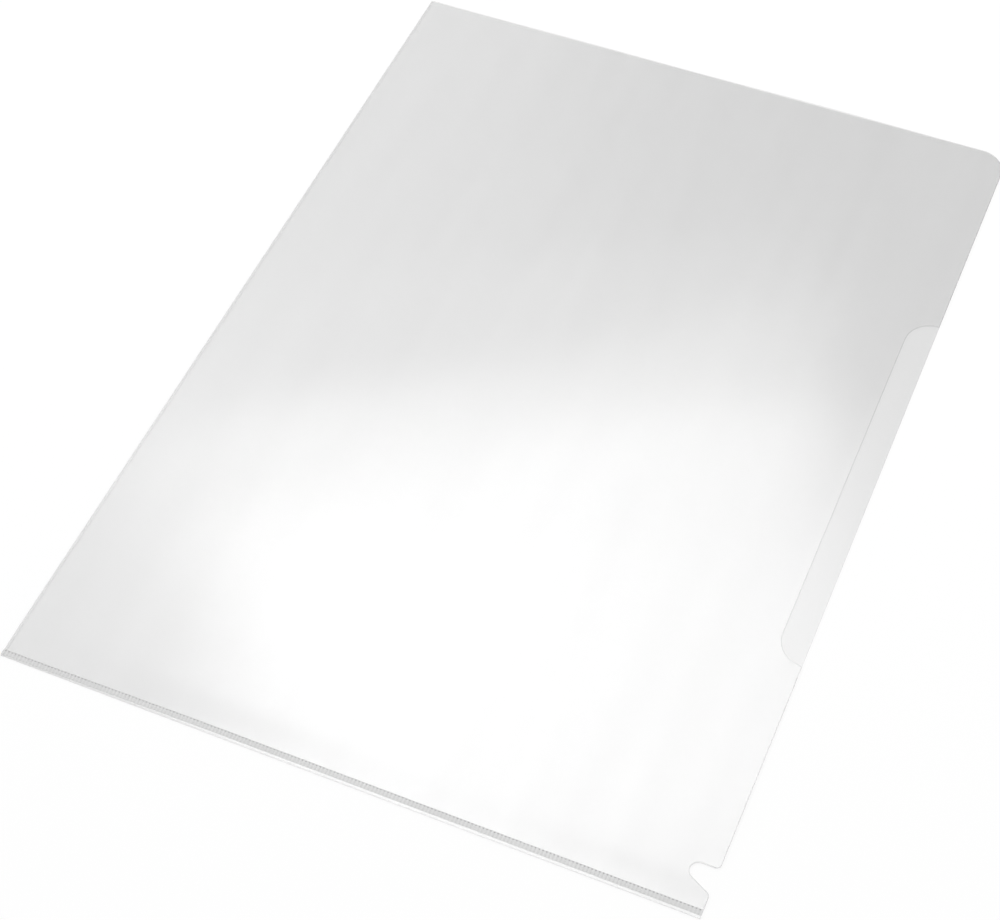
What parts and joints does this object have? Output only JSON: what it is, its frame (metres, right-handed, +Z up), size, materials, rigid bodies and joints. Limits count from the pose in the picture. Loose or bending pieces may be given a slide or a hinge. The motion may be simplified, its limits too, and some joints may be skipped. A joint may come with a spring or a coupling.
{
  "type": "document sleeve",
  "caption": "Clear plastic sleeve for A4 paper, folded down one side, welded along the bottom, open at the top and side, with a thumb cut; its front panel peels open.",
  "frame": {"origin": "on the table, under the centre of the sleeve's outline", "axes": "+X from the folded side to the open side, +Y from the welded bottom to the open top, +Z up from the table through the front panel"},
  "size_m": [0.22, 0.31, 0.0006],
  "materials": {
    "clear_film": "clear calendered plastic film, high gloss, faintly grey",
    "folded_film": "clear film creased round on itself, gloss, slightly greyer than the flat panels",
    "welded_film": "two layers of clear film fused by a heated ribbed bar, satin, grey and hazy",
    "film_margin": "clear film outside the weld, gloss, with a cut edge"
  },
  "bodies": {
    "sleeve": {"back_sheet": "clear_film", "front_ramp": "clear_film", "front_sheet": "clear_film", "spine_fold": "folded_film", "weld_seam": "welded_film", "back_margin": "film_margin", "front_margin": "film_margin"},
    "flex_1": {"front_flex_1": "clear_film"},
    "flex_2": {"front_flex_2": "clear_film"},
    "flex_3": {"front_flex_3": "clear_film"},
    "flex_4": {"front_flex_4": "clear_film"},
    "flex_5": {"front_flex_5": "clear_film"},
    "flex_6": {"front_flex_6": "clear_film"},
    "flex_7": {"front_flex_7": "clear_film"},
    "corner": {"front_corner": "clear_film"}
  },
  "joints": [
    {"name": "corner_peel", "type": "hinge", "parent": "sleeve", "child": "flex_1", "pos_m": [0.00979, 0.00694, 0.00052], "axis": [0.5787, -0.8155, 0], "range_deg": [0, 12], "stiffness_Nm_per_rad": 0.0102},
    {"name": "bend_2", "type": "hinge", "parent": "flex_1", "child": "flex_2", "pos_m": [0.0212, 0.01505, 0.00052], "axis": [0.5787, -0.8155, 0], "range_deg": [0, 12], "stiffness_Nm_per_rad": 0.0093},
    {"name": "bend_3", "type": "hinge", "parent": "flex_2", "child": "flex_3", "pos_m": [0.03262, 0.02315, 0.00052], "axis": [0.5787, -0.8155, 0], "range_deg": [0, 12], "stiffness_Nm_per_rad": 0.0085},
    {"name": "bend_4", "type": "hinge", "parent": "flex_3", "child": "flex_4", "pos_m": [0.04404, 0.03125, 0.00052], "axis": [0.5787, -0.8155, 0], "range_deg": [0, 12], "stiffness_Nm_per_rad": 0.0076},
    {"name": "bend_5", "type": "hinge", "parent": "flex_4", "child": "flex_5", "pos_m": [0.05545, 0.03935, 0.00052], "axis": [0.5787, -0.8155, 0], "range_deg": [0, 12], "stiffness_Nm_per_rad": 0.0068},
    {"name": "bend_6", "type": "hinge", "parent": "flex_5", "child": "flex_6", "pos_m": [0.06687, 0.04746, 0.00052], "axis": [0.5787, -0.8155, 0], "range_deg": [0, 12], "stiffness_Nm_per_rad": 0.0059},
    {"name": "bend_7", "type": "hinge", "parent": "flex_6", "child": "flex_7", "pos_m": [0.07829, 0.05556, 0.00052], "axis": [0.5787, -0.8155, 0], "range_deg": [0, 12], "stiffness_Nm_per_rad": 0.0051},
    {"name": "bend_8", "type": "hinge", "parent": "flex_7", "child": "corner", "pos_m": [0.08971, 0.06366, 0.00052], "axis": [0.5787, -0.8155, 0], "range_deg": [0, 12], "stiffness_Nm_per_rad": 0.0042}
  ],
  "couplings": [
    {"joint": "bend_2", "follows": "corner_peel", "ratio": 1},
    {"joint": "bend_3", "follows": "corner_peel", "ratio": 1},
    {"joint": "bend_4", "follows": "corner_peel", "ratio": 1},
    {"joint": "bend_5", "follows": "corner_peel", "ratio": 1},
    {"joint": "bend_6", "follows": "corner_peel", "ratio": 1},
    {"joint": "bend_7", "follows": "corner_peel", "ratio": 1},
    {"joint": "bend_8", "follows": "corner_peel", "ratio": 1}
  ]
}
